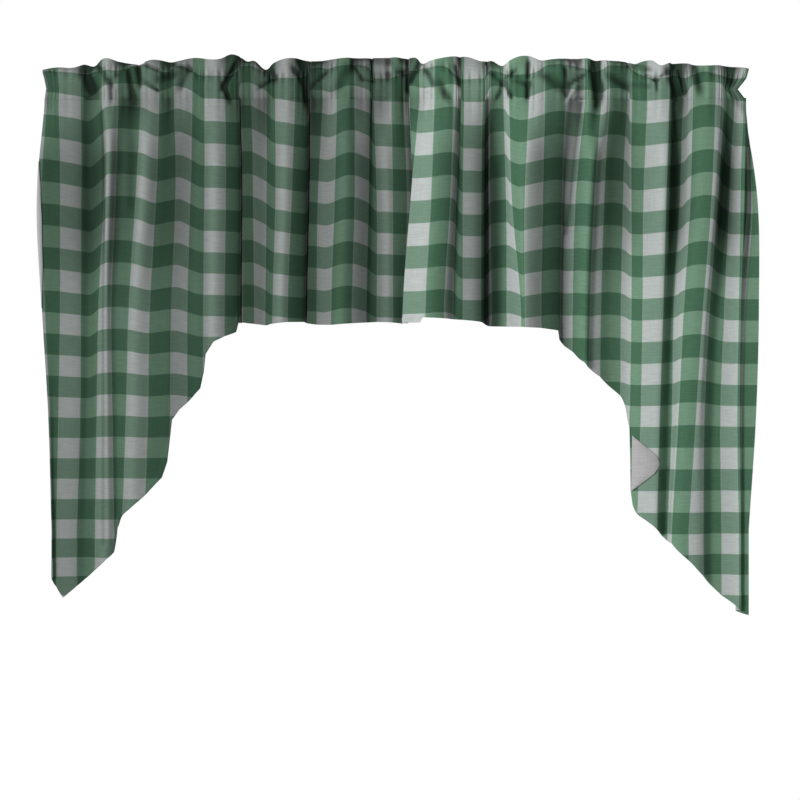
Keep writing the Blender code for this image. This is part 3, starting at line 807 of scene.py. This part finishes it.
# Right heading. Made as the left one is, and crumpled in its own way.
RIGHT_STITCH = (
    (0.0, 32), (0.6, 35), (1.5, 39), (2.0, 42), (2.5, 26), (3.7, 19), (4.6, 17), (5.5, 19), (6.8, 28),
    (7.6, 35), (8.7, 25), (10.1, 25), (10.5, 26), (11.1, 30), (11.5, 41), (12.0, 44), (12.5, 44),
    (13.0, 41), (13.4, 36), (14.0, 32), (14.3, 32), (14.8, 37), (15.6, 42), (16.2, 42), (16.9, 41),
    (17.8, 30), (18.5, 19), (18.9, 18), (19.5, 21), (20.2, 28), (20.6, 18), (21.5, 25), (22.1, 32),
    (22.5, 25), (23.5, 23), (24.6, 19), (25.8, 19),
)
RIGHT_FRILL = (
    (18, 55), (30, 55), (41, 45), (55, 49), (95, 57), (120, 57), (146, 50), (164, 51),
    (182, 41), (198, 51), (215, 57), (228, 57), (250, 50), (270, 53), (333, 54), (358, 51),
    (399, 49), (416, 44), (430, 48), (446, 48), (457, 41), (478, 46), (505, 46), (526, 41),
    (566, 42), (593, 40), (615, 36),
)
RIGHT_END_IN = 15.0
make_heading(
    "right", RIGHT_FOLDS, 25.8, RIGHT_PRINT, RIGHT_STITCH, RIGHT_FRILL, RIGHT_CREASES, RIGHT_END_IN, 0.5,
    right_check,
)

# The room. A pale floor well below the window, a soft light from the front left, and pale
# surroundings that fill the shadows. The camera stands level with the middle of the valance.
FLOOR_HEIGHT = -2.1
FLOOR_WIDE = 2.4
CAMERA_AWAY = 3.0
VIEW_WIDE = 1.411
VIEW_CENTRE = (0.0018, -0.547)
AIR_SEEN = 1.0  # strength of the pale air as the camera sees it, and as it lights the cloth
AIR_GIVES = 0.24
SENSOR_WIDE = 36.0


def make_floor():
    """A disc of pale matt floor, a fan of one ring of points round its centre."""
    turn = np.linspace(0, 2 * np.pi, 96, endpoint=False)
    x, y = FLOOR_WIDE * np.cos(turn), FLOOR_WIDE * np.sin(turn)
    ring = np.stack([x, y, np.full(96, FLOOR_HEIGHT)], axis=1)
    mesh = bpy.data.meshes.new("floor")
    mesh.from_pydata(ring.tolist(), [], [list(range(96))])
    material = bpy.data.materials.new("floor")
    material.use_nodes = True
    shader = material.node_tree.nodes["Principled BSDF"]
    shader.inputs["Base Color"].default_value = (0.85, 0.85, 0.84, 1)
    shader.inputs["Roughness"].default_value = 0.9
    mesh.materials.append(material)
    floor = bpy.data.objects.new("floor", mesh)
    bpy.context.scene.collection.objects.link(floor)


def make_light(name, place, aim, size, power):
    """A square soft light at place, turned to face aim."""
    lamp = bpy.data.lights.new(name, "AREA")
    lamp.shape = "SQUARE"
    lamp.size = size
    lamp.energy = power
    light = bpy.data.objects.new(name, lamp)
    place, aim = np.array(place, float), np.array(aim, float)
    away = place - aim
    away /= np.linalg.norm(away)
    side = np.cross((0, 0, 1), away)
    side /= np.linalg.norm(side)
    turned = np.stack([side, np.cross(away, side), away], axis=1)
    matrix = np.eye(4)
    matrix[:3, :3], matrix[:3, 3] = turned, place
    light.matrix_world = matrix.T.tolist()
    bpy.context.scene.collection.objects.link(light)


def make_camera():
    lens = bpy.data.cameras.new("camera")
    lens.sensor_width = SENSOR_WIDE
    lens.lens = SENSOR_WIDE * CAMERA_AWAY / VIEW_WIDE
    camera = bpy.data.objects.new("camera", lens)
    camera.location = (VIEW_CENTRE[0], -CAMERA_AWAY, VIEW_CENTRE[1])
    camera.rotation_euler = (np.pi / 2, 0, 0)
    bpy.context.scene.collection.objects.link(camera)
    bpy.context.scene.camera = camera


def make_surroundings():
    """Pale air all round: what the camera sees is white, and the light it gives is weaker."""
    world = bpy.data.worlds.new("surroundings")
    world.use_nodes = True
    tree = world.node_tree
    sky = tree.nodes["Background"]
    seen = tree.nodes.new("ShaderNodeLightPath")
    strength = math_node(tree, "MULTIPLY_ADD", seen.outputs["Is Camera Ray"], AIR_SEEN - AIR_GIVES, AIR_GIVES)
    tree.links.new(strength, sky.inputs["Strength"])
    sky.inputs["Color"].default_value = (1, 1, 1, 1)
    bpy.context.scene.world = world


make_floor()
make_light("key", (-2.35, -2.85, 0.5), (0, 0, -0.4), 1.1, 96)
make_camera()
make_surroundings()
bpy.context.scene.view_settings.view_transform = "Standard"
